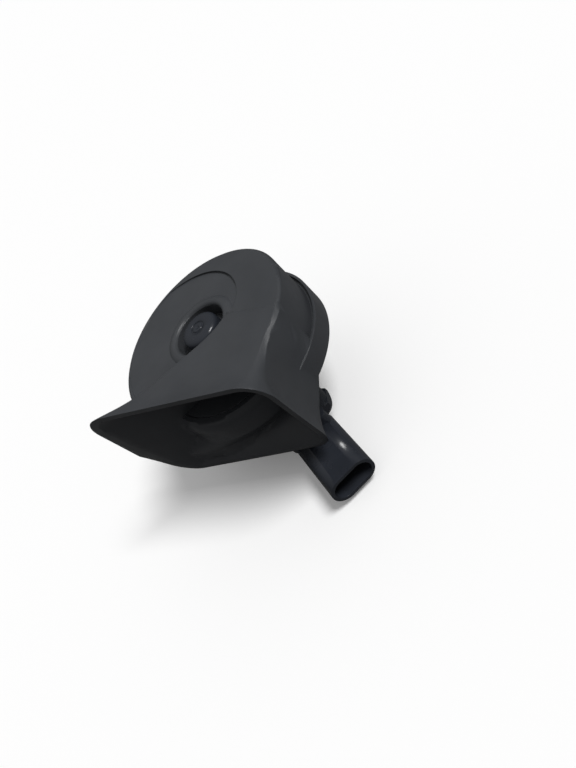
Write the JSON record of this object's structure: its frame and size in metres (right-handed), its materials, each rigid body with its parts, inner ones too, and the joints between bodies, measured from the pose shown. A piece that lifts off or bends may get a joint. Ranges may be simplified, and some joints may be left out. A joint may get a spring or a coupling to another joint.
{
  "type": "car horn",
  "caption": "Black electromagnetic trumpet car horn with a spiral disc-shaped duct, a rectangular flared mouth, a threaded mounting stud and an oblong plug socket.",
  "frame": {"origin": "centre of the steel case's back, where the mounting stud leaves it", "axes": "+Z forwards along the stud's and the diaphragm's axis towards the trumpet's face, the mouth opens towards -Y, +X towards the flat outer side wall of the last stretch of duct"},
  "size_m": [0.1037, 0.0941, 0.0796],
  "materials": {
    "trumpet_plastic": "satin",
    "gloss_black_plastic": "gloss",
    "clamp_aluminium": "turned",
    "spring_steel": "bright",
    "black_rubber": "matt",
    "case_paint": "semi-gloss",
    "plated_steel": "zinc plated",
    "pale_plastic": "satin",
    "copper_wire": "enamelled copper",
    "contact_brass": "bright",
    "brown_insulator": "matt"
  },
  "bodies": {
    "horn": {"trumpet_shell": "trumpet_plastic", "centre_plug": "gloss_black_plastic", "volute_back_plate": "trumpet_plastic", "clamp_ring": "clamp_aluminium", "diaphragm": "spring_steel", "sealing_gasket": "black_rubber", "motor_case": "case_paint", "retaining_ring": "spring_steel", "pole_core": "plated_steel", "coil_bobbin": "pale_plastic", "coil_winding": "copper_wire", "contact_base": "brown_insulator", "contact_spacer": "brown_insulator", "fixed_contact_strip": "contact_brass", "fixed_contact": "contact_brass", "contact_rivets": "contact_brass", "adjuster_screw": "plated_steel", "adjuster_cap": "gloss_black_plastic", "terminal_housing": "gloss_black_plastic", "terminal_1": "contact_brass", "terminal_2": "contact_brass", "terminal_seal": "black_rubber", "housing_rivets": "plated_steel"},
    "armature": {"armature": "plated_steel", "armature_washer": "plated_steel", "armature_nut": "plated_steel"},
    "breaker": {"moving_contact_strip": "contact_brass", "moving_contact": "contact_brass", "contact_pusher": "brown_insulator"}
  },
  "joints": [
    {"name": "armature_stroke", "type": "slide", "parent": "horn", "child": "armature", "axis": [0, 0, -1], "range_m": [0, 0.0005], "stiffness_N_per_m": 20000, "deforming": ["diaphragm"]},
    {"name": "breaker_swing", "type": "hinge", "parent": "horn", "child": "breaker", "pos_m": [0.0225, -0.00478, 0.0171], "axis": [-0.2079, -0.9781, 0], "range_deg": [0, 2.2], "stiffness_Nm_per_rad": 0.02}
  ],
  "couplings": [
    {"joint": "breaker_swing", "follows": "armature_stroke", "rad_per_m": 72.464}
  ]
}
